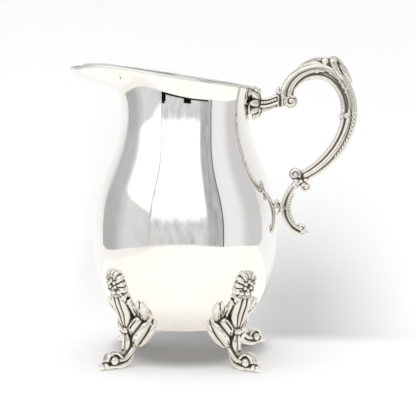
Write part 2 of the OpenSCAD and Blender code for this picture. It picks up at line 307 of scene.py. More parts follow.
class Casting:
    """Each cell holds its distance to the surface of the metal, negative inside."""

    def __init__(self, low, high, cell):
        self.cell, self.low = cell, np.array(low, float)
        self.size = np.ceil((np.array(high) - self.low) / cell).astype(int) + 1
        self.metal = np.full(self.size, FAR, np.float32)

    def cut(self, low, high):
        """The slices of the cells between two corners."""
        first, last = (np.asarray(low) - self.low) / self.cell, (np.asarray(high) - self.low) / self.cell
        first = np.clip(np.floor(first), 0, self.size - 1).astype(int)
        last = np.clip(np.ceil(last) + 1, first + 1, self.size).astype(int)
        return tuple(slice(a, b) for a, b in zip(first, last))

    def cells(self, cut=None):
        """The x, y and z of some or all cells, ready to be combined."""
        cut = cut or self.cut(self.low, self.low + self.size * self.cell)
        return [(self.low[k] + self.cell * np.arange(s.start, s.stop, dtype=np.float32)).reshape(
            [-1 if j == k else 1 for j in range(3)]) for k, s in enumerate(cut)]

    def put(self, cut, shape, soft, carve):
        """Adds a shape to the metal, or carves it away."""
        if carve:
            self.metal[cut] = -merge(-self.metal[cut], shape, soft)
        else:
            self.metal[cut] = merge(self.metal[cut], shape, soft)

    def strand(self, balls, wide=1, soft=0.7, steps=10, carve=False):
        """A smooth limb through balls of x, y, z, radius; wide is its width along y over its thickness."""
        b = along(balls, steps) if len(balls) > 1 else np.array(balls * 2, float)
        reach = abs(b[:, 3]).max() * max(1, wide) + soft + 2 * self.cell
        whole = self.cut(b[:, :3].min(0) - reach, b[:, :3].max(0) + reach)
        shape = np.full([s.stop - s.start for s in whole], FAR, np.float32)
        squeeze = 1 - 1 / wide
        for p, q in zip(b[:-1], b[1:]):
            part = self.cut(np.minimum(p, q)[:3] - reach, np.maximum(p, q)[:3] + reach)
            x, y, z = self.cells(part)
            # Across y the metric is squeezed, so that a limb comes out wider than it is thick
            d = q[:3] - p[:3]
            d[1] -= d[1] * squeeze
            length = max(math.sqrt(d @ d), 1e-6)
            d /= length
            grow = float(np.clip((q[3] - p[3]) / length, -0.9, 0.9))
            u, v, w = x - p[0], y - p[1], z - p[2]
            v = v - v * squeeze
            s = u * d[0] + v * d[1] + w * d[2]
            off = u * u + v * v + w * w - s * s
            t = np.clip(s + grow / math.sqrt(1 - grow * grow) * np.sqrt(np.maximum(off, 0)), 0, length)
            here = tuple(slice(a.start - o.start, a.stop - o.start) for a, o in zip(part, whole))
            limb = np.sqrt(np.maximum(off + (s - t) ** 2, 0)) - p[3] - t * grow
            shape[here] = np.minimum(shape[here], limb)
        self.put(whole, shape, soft, carve)

    def ball(self, centre, radii, soft=0.5, carve=False):
        """A ball, or an egg of three radii."""
        radii = np.broadcast_to(np.asarray(radii, float), 3)
        cut = self.cut(np.subtract(centre, radii + soft + 1), np.add(centre, radii + soft + 1))
        x, y, z = self.cells(cut)
        scaled = np.sqrt(((x - centre[0]) / radii[0]) ** 2 + ((y - centre[1]) / radii[1]) ** 2
                         + ((z - centre[2]) / radii[2]) ** 2)
        self.put(cut, ((scaled - 1) * radii.min()).astype(np.float32), soft, carve)

    def scroll(self, place, outer, inner, tube, turns, start, soft=0.35):
        """A spiral round a bead on a face; place turns two face coordinates into a point."""
        t = np.linspace(0, 1, max(8, int(14 * turns)))
        r, a = mix(outer, inner, t), np.radians(start) + 2 * math.pi * turns * t
        line = zip(r * np.cos(a), r * np.sin(a), t)
        self.strand([(*place(x, y), tube * mix(1, 0.75, k)) for x, y, k in line], soft=soft, steps=2)
        self.ball(place(0, 0), tube * 1.35, soft)

    def leave_body(self, sink):
        """Cuts away what would stand inside the body, but for a little to bed on."""
        x, y, z = self.cells()
        slope = np.gradient(skin_r(z.ravel()), z.ravel())
        lean = (1 / np.sqrt(1 + slope ** 2)).reshape(z.shape)
        far = np.sqrt(x * x + y * y)
        outside = ((far - skin_r(z)) * lean + sink).astype(np.float32)
        outside = np.where(z < base_z, np.maximum(base_z - z - 0.1, far - base_r), outside)
        self.metal = np.maximum(self.metal, -outside)

    def depth_of(self, spread):
        """How much metal lies round each cell: more than half in a recess, less on a ridge."""
        full = np.clip(0.5 - self.metal / self.cell, 0, 1)
        wide = max(1, round(spread / self.cell))
        for axis in (0, 1, 2, 0, 1, 2):
            pad = [(wide + 1, wide) if k == axis else (0, 0) for k in range(3)]
            total = np.cumsum(np.pad(full, pad, mode="edge"), axis=axis, dtype=np.float64)
            n = full.shape[axis]
            ends = np.take(total, np.arange(2 * wide + 1, 2 * wide + 1 + n), axis)
            full = ((ends - np.take(total, np.arange(n), axis)) / (2 * wide + 1)).astype(np.float32)
        return full

    def level(self, at, field=None):
        """The metal, or another field, at points between the cells: a smooth cubic through 64 of them."""
        field = self.metal if field is None else field
        base = np.clip(np.floor(at).astype(int), 1, np.array(field.shape) - 3)
        t = (at - base)[:, :, None]
        share = np.concatenate([(-t + 2 * t ** 2 - t ** 3) / 2, (2 - 5 * t ** 2 + 3 * t ** 3) / 2,
                                (t + 4 * t ** 2 - 3 * t ** 3) / 2, (t ** 3 - t ** 2) / 2], axis=2)
        total = np.zeros(len(at))
        for i in range(4):
            for j in range(4):
                for k in range(4):
                    here = field[base[:, 0] + i - 1, base[:, 1] + j - 1, base[:, 2] + k - 1]
                    total += share[:, 0, i] * share[:, 1, j] * share[:, 2, k] * here
        return total

    def settle(self, at):
        """Moves points onto the surface along the slope of the distance, by no more than a part of a cell."""
        probe, furthest = 0.25, 0.4
        now = self.level(at)
        slope = np.stack([self.level(at + probe * np.eye(3)[k]) - now for k in range(3)], axis=1) / probe
        move = now / np.maximum((slope ** 2).sum(axis=1), 0.02)
        return at - np.clip(slope * move[:, None], -furthest, furthest)

    def drop_specks(self):
        """Turns over the cells that stand nearly alone in metal or in air."""
        m = self.metal
        for _ in range(4):
            inside = (m < 0).astype(np.int8)
            near = sum(np.roll(inside, way, axis) for axis in range(3) for way in (-1, 1))
            m[:] = np.where((inside == 1) & (near < 2) | (inside == 0) & (near > 4), -m, m)

    def skin(self):
        """Points, quads and the recess value of the surface."""
        self.metal[[0, -1]] = self.metal[:, [0, -1]] = self.metal[:, :, [0, -1]] = EDGE
        self.drop_specks()
        m = self.metal
        inside = m < 0
        # One point in each cell that the surface crosses
        corners = [(i, j, k) for i in (0, 1) for j in (0, 1) for k in (0, 1)]
        n = np.array(m.shape) - 1
        count = sum(inside[i:n[0] + i, j:n[1] + j, k:n[2] + k].astype(np.int8) for i, j, k in corners)
        cells = np.argwhere((count > 0) & (count < 8))
        number = np.full(n, -1, np.int64)
        number[tuple(cells.T)] = np.arange(len(cells))
        total, hits = np.zeros((len(cells), 3)), np.zeros(len(cells))
        for a in corners:
            for b in corners:
                if sum(b) - sum(a) == 1 and all(q >= p for p, q in zip(a, b)):
                    va, vb = m[tuple((cells + a).T)], m[tuple((cells + b).T)]
                    crossing = (va < 0) != (vb < 0)
                    t = np.where(crossing, va / np.where(crossing, va - vb, 1), 0)
                    total += crossing[:, None] * (np.array(a) + t[:, None] * (np.array(b) - np.array(a)))
                    hits += crossing
        at = cells + total / hits[:, None]
        # One quad round each step between metal and air
        quads = []
        for axis in range(3):
            low, high = (np.take(inside, range(k, n[axis] + k), axis) for k in (0, 1))
            edges = np.argwhere(low != high)
            u, v = np.eye(3, dtype=int)[(axis + 1) % 3], np.eye(3, dtype=int)[(axis + 2) % 3]
            ring = [number[tuple((edges - o).T)] for o in (u + v, v, u * 0, u)]
            quad = np.stack(ring, axis=1)
            out = low[tuple(edges.T)]
            quads.append(np.where(out[:, None], quad, quad[:, ::-1]))
        quads = np.concatenate(quads)
        pairs = np.concatenate([quads[:, [k, (k + 1) % 4]] for k in range(4)])
        pairs = np.concatenate([pairs, pairs[:, ::-1]])
        links = np.bincount(pairs[:, 0], minlength=len(at))[:, None]

        def ease(at, steps):
            """Moves each point towards the middle of its neighbours, or away from it."""
            for step in steps:
                near = [np.bincount(pairs[:, 0], at[pairs[:, 1], k], len(at)) for k in range(3)]
                at = at + step * (np.stack(near, axis=1) / links - at)
            return at

        # In and out again, so that the piece keeps its size
        at = ease(self.settle(ease(at, (0.5, -0.5, 0.5))), 2 * (0.5, -0.52))
        # Points that hang together get the same label, and small bits are dropped
        label, before = np.arange(len(at)), None
        while before is None or (label != before).any():
            before = label
            label = label.copy()
            np.minimum.at(label, pairs[:, 0], before[pairs[:, 1]])
            label = label[label]
        kept = np.bincount(label)[label] > crumb
        quads = (np.cumsum(kept) - 1)[quads[kept[quads[:, 0]]]]
        at = at[kept]
        recess = (0.6 * self.level(at, self.depth_of(fine_hollow))
                  + 0.4 * self.level(at, self.depth_of(broad_hollow)))
        return self.low + at * self.cell, quads, recess


cell = 0.42
hands = (-1, 1)  # the two sides of a piece


def leg_pattern():
    """One scroll leg; x runs out from the axis, y across, z up."""
    leg = Casting((37, -24.5, -1.2), (90.5, 24.5, 81), cell)
    # Shank and foot
    leg.strand([(*on_skin(0, 62, -1.4), 5), (*on_skin(0, 50, 0.2), 5.6), (*on_skin(0, 41, 1), 5.7),
                (56.4, 0, 31, 5.4), (54.8, 0, 22, 5), (57.4, 0, 14.4, 4.5), (62.6, 0, 8.8, 4.3),
                (68, 0, 5.2, 4.6), (73, 0, 4, 4)], soft=1)
    # Fluted leaf down the shank, its knob, and the long leaf under it
    for y in (-4.5, 0, 4.5):
        leg.strand([(*on_skin(y * 0.9, 58, 3), 1.5), (*on_skin(y * 1.2, 51, 4.3), 2.5),
                    (64, y * 1.15, 43, 2.6), (62.2, y * 0.8, 36, 2.2), (61, y * 0.35, 31, 1.4)], soft=0.4)
    leg.ball((61.8, 0, 28.7), (2.8, 3.3, 2.8))
    for y in hands:
        leg.ball((61.4, 2.9 * y, 30.8), 1.5, 0.3)
    leg.strand([(61.4, 0, 26, 1.4), (60.9, 0, 21, 2.5), (61.8, 0, 15.4, 2.2), (64.2, 0, 11.2, 1)],
               wide=1.6, soft=0.5)
    leg.strand([(63.6, 0, 25.5, 0.6), (63.7, 0, 20.6, 0.8), (64.2, 0, 14.8, 0.7)], soft=0.4)
    # Shell on the knee: a full cushion under a row of lobes, a flower and two curls
    leg.ball(on_skin(0, 65.5, 0.6), (3.6, 8.4, 10.2), 0.6)
    for k, turn in enumerate(np.linspace(-112, 112, 9)):
        s, c, full = math.sin(math.radians(turn)), math.cos(math.radians(turn)), (1.12, 0.84, 1)[k % 3]
        leg.strand([(*on_skin(4.2 * s, 65.2 + 5 * c, 3), 1.4),
                    (*on_skin(7.6 * s, 65.6 + 8.6 * c, 2.4), 2.3 * full),
                    (*on_skin(8.8 * s, 65.6 + (8.4 + 2.2 * full) * c, 1.4), 2 * full)], soft=0.18)
        leg.strand([(*on_skin(5.4 * s, 65.4 + 6.4 * c, 4.8), 0.5),
                    (*on_skin(8 * s, 65.6 + 9.4 * c, 5), 0.7 * full)], soft=0.3, carve=True)
    for turn in range(0, 360, 60):
        s, c = math.sin(math.radians(turn)), math.cos(math.radians(turn))
        leg.ball(on_skin(3.3 * s, 66 + 3.3 * c, 4), (1.9, 1.7, 1.7), 0.2)
    leg.ball(on_skin(0, 66, 6.2), 1.7, 0.15, carve=True)
    leg.ball(on_skin(0, 60.2, 4.6), (2.3, 2.9, 2.2), 0.25)
    for y in hands:
        leg.ball(on_skin(4.9 * y, 60.6, 3.6), (2.2, 2.5, 2.1), 0.25)
        leg.ball(on_skin(5.2 * y, 56, 2), (2.6, 3.4, 3.4), 0.3)
        leg.scroll(lambda u, v: on_skin(y * (6.2 + u), 55.6 + v, 3.4), 3, 0.9, 1.35, 1.25, 100)
        leg.scroll(lambda u, v: on_skin(y * (6.6 + u), 49.4 + v, 3.3), 2.1, 0.8, 1.1, 1.1, 60)
        leg.strand([(*on_skin(8.6 * y, 52.6, 1.4), 2), (*on_skin(9 * y, 46.5, 1.6), 1.9),
                    (*on_skin(7.6 * y, 40, 2.4), 1.7)], soft=0.35)
    # Side leaves that spread along the bowl and curl at their tips
    for y in hands:
        leg.strand([(57, 2.6 * y, 25, 2.4), (59.4, 6.6 * y, 31.4, 3.7), (57.2, 9 * y, 36.6, 4),
                    (53.4, 11.6 * y, 40.4, 1.6)], soft=0.25)
        leg.strand([(54.6, 2.4 * y, 16.4, 2.3), (56.2, 6.6 * y, 21.8, 3.6), (55, 10.4 * y, 28, 4.3),
                    (52.2, 13 * y, 33.4, 3.4), (49, 14 * y, 36.8, 1.4)], soft=0.25)
        leg.strand([(50.4, 4 * y, 16.6, 2), (49.4, 9 * y, 21.6, 3.1), (47, 13 * y, 28, 3.2),
                    (44.6, 14.6 * y, 33, 1.6)], soft=0.25)
        for groove in ([(61.4, 5.2 * y, 29, 0.5), (62.6, 8.4 * y, 33.4, 0.75), (60, 11.4 * y, 38.4, 0.4)],
                       [(57.8, 6.2 * y, 20.6, 0.5), (58.6, 10.4 * y, 26, 0.75), (55.6, 14.4 * y, 32.6, 0.4)]):
            leg.strand(groove, soft=0.3, carve=True)
        leg.strand([(*on_skin(12.6 * y, 38.6, 0.8), 2.4), (*on_skin(16 * y, 42, 1.2), 3),
                    (*on_skin(19 * y, 46.8, 1.2), 3), (*on_skin(20.2 * y, 52, 1), 1.3)], soft=0.3)
        leg.strand([(*on_skin(14 * y, 44.6, 1.2), 1.9), (*on_skin(16.4 * y, 49.4, 1.6), 1.9),
                    (*on_skin(17.2 * y, 53.2, 1), 1)], soft=0.3)
        leg.scroll(lambda u, v: on_skin(y * (18 + u), 46 + v, 3), 2.2, 0.7, 1, 1.2, 200)
        leg.strand([(*on_skin(12 * y, 42.4, 1), 1.8), (*on_skin(11.6 * y, 48, 1), 1.5)], soft=0.3)
        # Curl at the turn of the shank, and the folds of the foot
        leg.scroll(lambda u, v: (56.4 + u, 4.9 * y, 18.4 + v), 2.5, 0.8, 1.1, 1.2, 90)
        leg.strand([(56, 3.8 * y, 16.6, 1.6), (60.4, 4 * y, 11, 1.9), (65.6, 4 * y, 7.2, 1.8),
                    (70, 3.6 * y, 6.4, 1.3)], soft=0.3)
        leg.strand([(58, 3.2 * y, 8.6, 1.4), (62.6, 4 * y, 4.4, 1.7), (68, 4.3 * y, 2.4, 1.8),
                    (73, 4 * y, 1.8, 1.3)], soft=0.3)
    leg.strand([(61, 0, 14, 1.5), (65.4, 0, 10.8, 2), (69.4, 0, 11.2, 1.7)], wide=1.5, soft=0.35)
    # Toe: a cap rolled over a large ball, and a cluster of beads at the tip
    leg.strand([(67.6, 0, 7.6, 2.2), (70.6, 0, 11, 2), (75, 0, 12.5, 1.8), (79.2, 0, 11, 1.8),
                (81.4, 0, 7.4, 1.7)], wide=2.2, soft=0.25)
    leg.strand([(70, 0, 2.6, 2.4), (76, 0, 2.2, 2), (81, 0, 2.2, 1.6)], wide=2, soft=0.3)
    for y in hands:
        leg.ball((75.2, 2.8 * y, 6.7), 3.5, 0.12)
        leg.ball((82.4, 2.1 * y, 3.6), 2.1, 0.2)
    leg.ball((81.6, 0, 5.6), 1.9, 0.2)
    leg.ball((85.4, 0, 2.9), 2.6, 0.2)
    leg.leave_body(0.35)
    # The underside is flat, so that the foot stands on the floor
    leg.metal = np.maximum(leg.metal, 0.02 - leg.cells()[2])
    points, quads, recess = leg.skin()
    points[:, 2] = np.maximum(points[:, 2], 0)
    return points, quads, recess


# Centre line of the grip as spans of a curve: root, top, bow and end, with the half thickness at each.
root_x, root_z = neck_r + 29.5, neck_z + 15
bow_x, end_x, end_z = 130.3, 90, 145
bow_z = mix(crest_z, end_z, 0.38)
top_x = mix(root_x, bow_x, 0.48)
grip_spans = [
    [(root_x, root_z), (root_x, root_z + 8), (root_x + 9, crest_z - 1), (top_x, crest_z - 0.5)],
    [(top_x, crest_z - 0.5), (top_x + 15, crest_z - 0.5), (bow_x, bow_z + 17), (bow_x, bow_z)],
    [(bow_x, bow_z), (bow_x, bow_z - 24), (end_x + 20, end_z + 7), (end_x, end_z)]]
grip_half = [5.5, 6.5, 6.7, 4.5]


def grip_reach(s):
    """Half the thickness of the grip; s runs 0 to 3 down it."""
    k = min(int(s), 2)
    return mix(grip_half[k], grip_half[k + 1], s - k)


def grip_at(s, off, y, r):
    """A ball beside the centre line; off is a share of the half thickness."""
    k = min(int(s), 2)
    span = np.array(grip_spans[k])
    here, ahead = bezier(span, s - k), bezier(span, s - k + 0.01)
    d = (ahead - here) / np.linalg.norm(ahead - here)
    x, z = here + off * grip_reach(s) * np.array([-d[1], d[0]])
    return x, y, z, r


def rail(casting, stations, **how):
    """A rib along the grip through stations, each s, off, y, radius."""
    fine = along(stations, 5)
    casting.strand([grip_at(min(max(s, 0), 3), off, y, r) for s, off, y, r in fine], steps=2, **how)


def grip_pattern():
    """The half of the hollow grip on the +Y side."""
    grip = Casting((72, -1.2, 136.5), (139, 7, 241.5), cell)
    core = []
    for s in np.linspace(0, 3, 19):
        x, y, z, _ = grip_at(s, 0, 0, 0)
        core.append((x, y, z, grip_reach(s)))
    grip.strand(core, wide=0.78, soft=0.5, steps=2)
    # Rails that frame a sunken channel from the root to the bow
    rail(grip, [(0, 0.4, 2.6, 2.9), (0.4, 0.46, 2.9, 3.3), (1, 0.46, 3, 3.5), (1.5, 0.46, 3, 3.4),
                (2, 0.48, 2.9, 3.2)], soft=0.5)
    rail(grip, [(0.1, -0.34, 3.3, 2.3), (0.5, -0.12, 3.8, 2.4), (0.9, 0.04, 4.1, 2.2),
                (1.12, 0.12, 4.4, 1.8)], soft=0.35)
    rail(grip, [(0.3, -0.7, 2.2, 1.8), (1, -0.7, 2.8, 2), (1.6, -0.66, 3, 2.2), (2, -0.64, 3, 2.3)],
         soft=0.4)
    rail(grip, [(1.24, 0.16, 4.2, 1.7), (1.5, 0.16, 4.3, 1.9), (1.8, 0.16, 4.3, 1.9), (1.95, 0.1, 4.2, 1.7)],
         soft=0.4)
    # Fine ribs across the floor of the channel
    for s in np.arange(0.34, 0.98, 0.045):
        grip.strand([grip_at(s, -0.32, 4.5, 0.5), grip_at(s, -0.56, 4, 0.5)], soft=0.25)
    for s in np.arange(1.28, 1.84, 0.036):
        grip.strand([grip_at(s, -0.1, 4.7, 0.5), grip_at(s, -0.4, 4.3, 0.5)], soft=0.25)
    # Three ribs from the bow down to the end
    rail(grip, [(1.98, 0.02, 3.8, 1.9), (2.15, -0.04, 4, 2.5), (2.5, -0.02, 3.6, 2.7), (2.9, 0, 2.8, 2.2)],
         soft=0.6)
    rail(grip, [(2, 0.6, 3, 2.4), (2.5, 0.6, 2.6, 2.5), (2.95, 0.56, 1.8, 1.9)], soft=0.5)
    rail(grip, [(2, -0.64, 3, 2.2), (2.5, -0.62, 2.6, 2.3), (2.95, -0.56, 1.8, 1.9)], soft=0.5)
    # Leaf strip on the outer edge below the bow
    for k, s in enumerate(np.arange(2.02, 2.52, 0.042)):
        r = mix(1.35, 0.8, k / 12)
        grip.strand([grip_at(s, 0.34, 5, r * 0.7), grip_at(s + 0.03, 0.56, 4.9, r)], soft=0.2)
    # Leaf that flows down the grip from the thumb piece, and its small leaf tips
    rail(grip, [(1.08, 0.66, 4, 2.2), (1.3, 0.46, 4.7, 2.1), (1.5, 0.16, 5, 1.6), (1.6, -0.06, 4.8, 0.8)],
         soft=0.35)
    for s in (1.36, 1.46, 1.56):
        rail(grip, [(s, 0.5, 4.6, 1.2), (s + 0.1, 0.2, 5.2, 1.3), (s + 0.12, -0.04, 5, 0.9)], soft=0.25)
    # Scrolls: root, end, bow, and the ends of the inner rail
    for x, z, r, start, turns in ((84.2, 206.2, 4.4, 60, 1.3), (87.8, 148.6, 4, -30, 1.3)):
        grip.ball((x, 0, z), (r + 1.2, 4.2, r + 1.2), 0.5)
        grip.scroll(lambda u, v: (x + u, 4.2 - 0.02 * (u * u + v * v), z + v), r - 0.1, 1.3, 1.15, turns,
                    start, 0.2)
    for x, z, r, start in ((128.8, 194.6, 2.7, -60), (104.6, 231.2, 1.9, 200), (109.8, 233.8, 2.1, 20)):
        grip.ball((x, 2.6, z), (r + 0.8, 2.4, r + 0.8), 0.4)
        grip.scroll(lambda u, v: (x + u, 4.8, z + v), r, 0.8, 1.2, 1.2, start)
    grip.ball((124.2, 1.6, 194.2), (2.3, 3.2, 2.6), 0.4)
    for x, z in ((88.6, 143.6), (92.4, 143), (96.4, 144)):
        grip.ball((x, 2.4, z), (2.2, 2.8, 2), 0.3)
    # The seam between the halves
    grip.metal = np.maximum(grip.metal, 0.03 - grip.cells()[1])
    return grip.skin()


def upper_bracket_pattern():
    """Stem from the neck to the collar under the grip, clasping the neck with leaves."""
    stem = Casting((47, -15, 189), (83.5, 15, 220.5), cell)
    stem.strand([(52, 0, 203, 6.8), (59, 0, 203, 6.2), (66, 0, 204, 4.8), (72, 0, 206.2, 5),
                 (78.4, 0, 208.4, 5.8)], soft=0.8, wide=0.9)
    for y in hands:
        # Framed row of beads on each side
        stem.strand([(59.4, 3.2 * y, 208, 1.1), (66, 3 * y, 208.2, 1), (73, 3.2 * y, 210.6, 1.2)], soft=0.35)
        stem.strand([(59.6, 5.2 * y, 202.2, 1.2), (66, 4.3 * y, 202.8, 1.1), (73.4, 4.5 * y, 205.2, 1.2)],
                    soft=0.35)
        for k in range(6):
            stem.ball((61.2 + 2.15 * k, (4.9 - 0.1 * k) * y, 205.3 + 0.1 * k * k), 1.25, 0.2)
        # Leaves on the neck
        for tip in ((54.2, 3.4, 217), (52.6, 9, 212.6), (52, 12.8, 205), (52.2, 10, 198), (53.4, 4.6, 193)):
            lean = np.array([tip[0] + 1.6, tip[1] * y, tip[2]])
            mid = mix(np.array([55, 0, 204.5]), lean, 0.55) + (1.6, 0, 0)
            stem.strand([(55.5, 1.5 * y, 204.5, 3.2), (*mid, 3.5), (*lean, 1.7)], soft=0.35)
            stem.strand([(58.2, 1.5 * y, 204.5, 0.9), (*(mid + (2.8, 0, 0)), 0.8),
                         (*(lean + (1.2, 0, 0)), 0.6)], soft=0.25)
        stem.scroll(lambda u, v: (59 + u * 0.4, y * (5.6 + u), 199.6 + v), 2, 0.7, 1, 1.2, 90)
        stem.strand([(77, 1.8 * y, 211.4, 2), (74.4, 3 * y, 213.4, 1.6), (72.2, 3.4 * y, 215.2, 0.9)],
                    soft=0.35)
    stem.strand([(56.4, 0, 208, 3), (58, 0, 212.6, 2.2), (59.6, 0, 216, 1)], soft=0.4)
    stem.strand([(57, 0, 200, 3.4), (58, 0, 196.4, 2.4), (59.4, 0, 194.4, 1.2)], soft=0.4)
    stem.strand([(76, 0, 211.6, 2.8), (74.2, 0, 214.4, 2), (74.2, 0, 217.2, 1)], soft=0.4)
    stem.ball((77.4, 0, 208), (1.6, 6.2, 7), 0.3)
    stem.ball((74.2, 0, 207), (1.2, 5.6, 6.2), 0.3)
    stem.leave_body(0.35)
    return stem.skin()


def thumb_leaf_pattern():
    """Leaf that lies along the crest of the grip, rolls over at the top and drops down the outside."""
    leaf = Casting((87, -9.6, 219), (136, 9.6, 243.6), cell)
    leaf.strand([(91.5, 0, 233, 2), (98, 0, 236.2, 3.2), (106, 0, 238, 3.5), (113, 0, 237, 3.8)],
                wide=1.4, soft=0.5)
    leaf.strand([(115.4, 0, 236, 3.2), (121, 0, 234.8, 3.8), (126, 0, 229.4, 3.6), (131.2, 0, 221.4, 1.6)],
                wide=1.55, soft=0.5)
    leaf.strand([(117.4, -6.4, 238, 3.1), (117.4, 0, 238.6, 3.6), (117.4, 6.4, 238, 3.1)], soft=0.4)
    for y in (-4.4, 0, 4.4):
        leaf.strand([(114.2, y, 239, 1.2), (117.6, y, 240.6, 1.7), (121.6, y * 0.85, 237.8, 1.9),
                     (126.4, y * 0.6, 231.6, 1.6), (130.2, y * 0.3, 224, 0.8)], soft=0.3)
    for y in hands:
        leaf.scroll(lambda u, v: (117.4 + u, 7 * y, 238 + v), 2, 0.8, 1.1, 1.2, 90)
        leaf.scroll(lambda u, v: (110.8 + u, 5.4 * y, 237.6 + v), 2, 0.8, 1.25, 1.2, 0)
        leaf.strand([(95, 3 * y, 235, 1.3), (102.6, 4.4 * y, 236.6, 1.9), (108.4, 5.2 * y, 235, 1.5)],
                    soft=0.35)
        leaf.strand([(117.6, 6.8 * y, 236, 2.4), (120.4, 6.6 * y, 230.4, 2.2), (124.4, 5.8 * y, 224.6, 1.3)],
                    soft=0.4)
    return leaf.skin()


def lower_bracket_pattern():
    """Reversed C-scroll that stands off the belly on a short neck."""
    bracket = Casting((69, -6.6, 96.5), (103.6, 6.6, 147.4), cell)
    line = np.array([(91.5, 143.2), (86.6, 138.4), (82.8, 132.3), (80.6, 127), (79.8, 121.6),
                     (80.4, 115.8), (83.2, 110), (87.6, 105), (93.6, 101.7), (98.4, 101.6)])
    widths = [3.1, 3.2, 3.1, 3, 3, 3, 3, 2.8, 2.3, 1]
    bracket.strand([(x, 0, z, r) for (x, z), r in zip(line, widths)], soft=0.5, wide=1.15)
    for y in hands:
        # Two rims along the line, lifted where it turns level, and a row of beads between them
        for off in (-1.9, 1.9):
            rim = [(x + off, 2.7 * y, z + (off * 0.5 if k > 5 else 0), 1.25)
                   for k, (x, z) in enumerate(line[1:9])]
            bracket.strand(rim, soft=0.35)
        for k, z in enumerate(np.arange(131.5, 109.5, -2.15)):
            x = np.interp(-z, -line[2:7, 1], line[2:7, 0])
            bracket.ball((x + 3.6, 2 * y, z), (1.5, 1.5, 1.3 if k % 2 else 1), 0.2)
        bracket.scroll(lambda u, v: (93 + u, 2.6 * y, 105.4 + v), 3.3, 1, 1.1, 1.2, -90, 0.2)
        bracket.scroll(lambda u, v: (96.6 + u, 3 * y, 137.8 + v), 3.4, 1, 1.15, 1.3, 120, 0.2)
    bracket.strand([(89, 0, 141.5, 2.2), (93, 0, 141.4, 2.2), (97, 0, 139.6, 2)], soft=0.4)
    bracket.ball((93, 0, 105.4), (3.6, 3, 3.6), 0.4)
    bracket.ball((96.6, 0, 137.8), (3.8, 3.4, 3.8), 0.4)
    bracket.strand([(71, 0, 121.4, 4.4), (75, 0, 121.4, 3.6), (80, 0, 121.4, 3.6)], soft=0.8)
    bracket.strand([(73.4, 0, 127, 1.3), (73.6, 0, 121.4, 2.3), (73, 0, 115.6, 1.3)], soft=0.4)
    for y in hands:
        bracket.strand([(76.8, 2.8 * y, 124.6, 0.8), (76.8, 3.1 * y, 121.4, 0.9),
                        (76.8, 2.8 * y, 118.2, 0.8)], soft=0.3)
    bracket.leave_body(0.35)
    return bracket.skin()


# ---- Finishes ----


class Value:
    """A shader socket that arithmetic can be written on."""

    def __init__(self, finish, socket):
        self.finish, self.socket = finish, socket

    def maths(self, operation, *others):
        """A Math node on the numbers given."""
        return self.finish.node("Math", {"operation": operation}, dict(enumerate(others)))

    def __add__(self, other):
        return self.maths("ADD", self, other)

    __radd__ = __add__

    def __mul__(self, other):
        return self.maths("MULTIPLY", self, other)

    __rmul__ = __mul__

    def __sub__(self, other):
        return self.maths("SUBTRACT", self, other)

    def __rsub__(self, other):
        return self.maths("SUBTRACT", other, self)

    def rise(self, low, high):
        """0 below low, 1 above high, and smooth between."""
        return self.finish.node("MapRange", {"interpolation_type": "SMOOTHSTEP", "clamp": True},
                                {"Value": self, "From Min": low, "From Max": high}, "Result")

    def inside(self, low, high, soft):
        """1 between low and high, 0 outside."""
        return self.rise(low - soft, low + soft) * (1 - self.rise(high - soft, high + soft))


class Finish:
    """A node material. Its nodes are added one by one, each with its settings first, then its sockets."""

    def __init__(self, name):
        self.material = bpy.data.materials.new(name)
        self.material.use_nodes = True
        self.tree = self.material.node_tree
        self.tree.nodes.clear()

    def node(self, kind, settings=None, sockets=None, out=0):
        """Adds a node, and gives back one of its outputs."""
        made = self.tree.nodes.new("ShaderNode" + kind)
        for name, value in (settings or {}).items():
            setattr(made, name, value)
        for name, value in (sockets or {}).items():
            if isinstance(value, Value):
                self.tree.links.new(value.socket, made.inputs[name])
            else:
                made.inputs[name].default_value = value
        return Value(self, made.outputs[out]) if made.outputs else None

    def axes(self):
        """The three coordinates of a point, in metres."""
        where = self.node("TexCoord", out="Object")
        return [self.node("SeparateXYZ", {}, {0: where}, axis) for axis in "XYZ"]

    def place(self, scale=(1, 1, 1)):
        """Position on the object in millimetres, stretched by scale."""
        where = self.node("TexCoord", out="Object")
        return self.node("VectorMath", {"operation": "MULTIPLY"}, {0: where, 1: [s / MM for s in scale]})

    def noise(self, size, detail=3, scale=(1, 1, 1)):
        """Noise with features of a size in millimetres."""
        return self.node("TexNoise", {"noise_dimensions": "3D"}, {
            "Vector": self.place(scale), "Scale": 1 / size, "Detail": detail, "Roughness": 0.5}, "Fac")

    def blend(self, share, first, second):
        """A colour between two colours."""
        return self.node("Mix", {"data_type": "RGBA"}, {0: share, 6: first, 7: second}, 2)

    def bump(self, height, distance, strength):
        """Fine relief; distance is in millimetres."""
        return self.node("Bump", {}, {"Height": height, "Distance": distance * MM, "Strength": strength})

    def show(self, shader):
        """Puts the shader on the surface, and gives back the material."""
        self.node("OutputMaterial", {}, {"Surface": shader})
        return self.material

    def bearing(self, x, y):
        """Degrees round the axis from the front, positive to the right."""
        return self.node("Math", {"operation": "ARCTAN2"}, {0: x, 1: 0 - y}) * math.degrees(1)

    def one_sided(self, shader):
        """A shader that is clear from behind."""
        back = self.node("NewGeometry", out="Backfacing")
        return self.node("MixShader", {}, {0: back, 1: shader, 2: self.node("BsdfTransparent")})


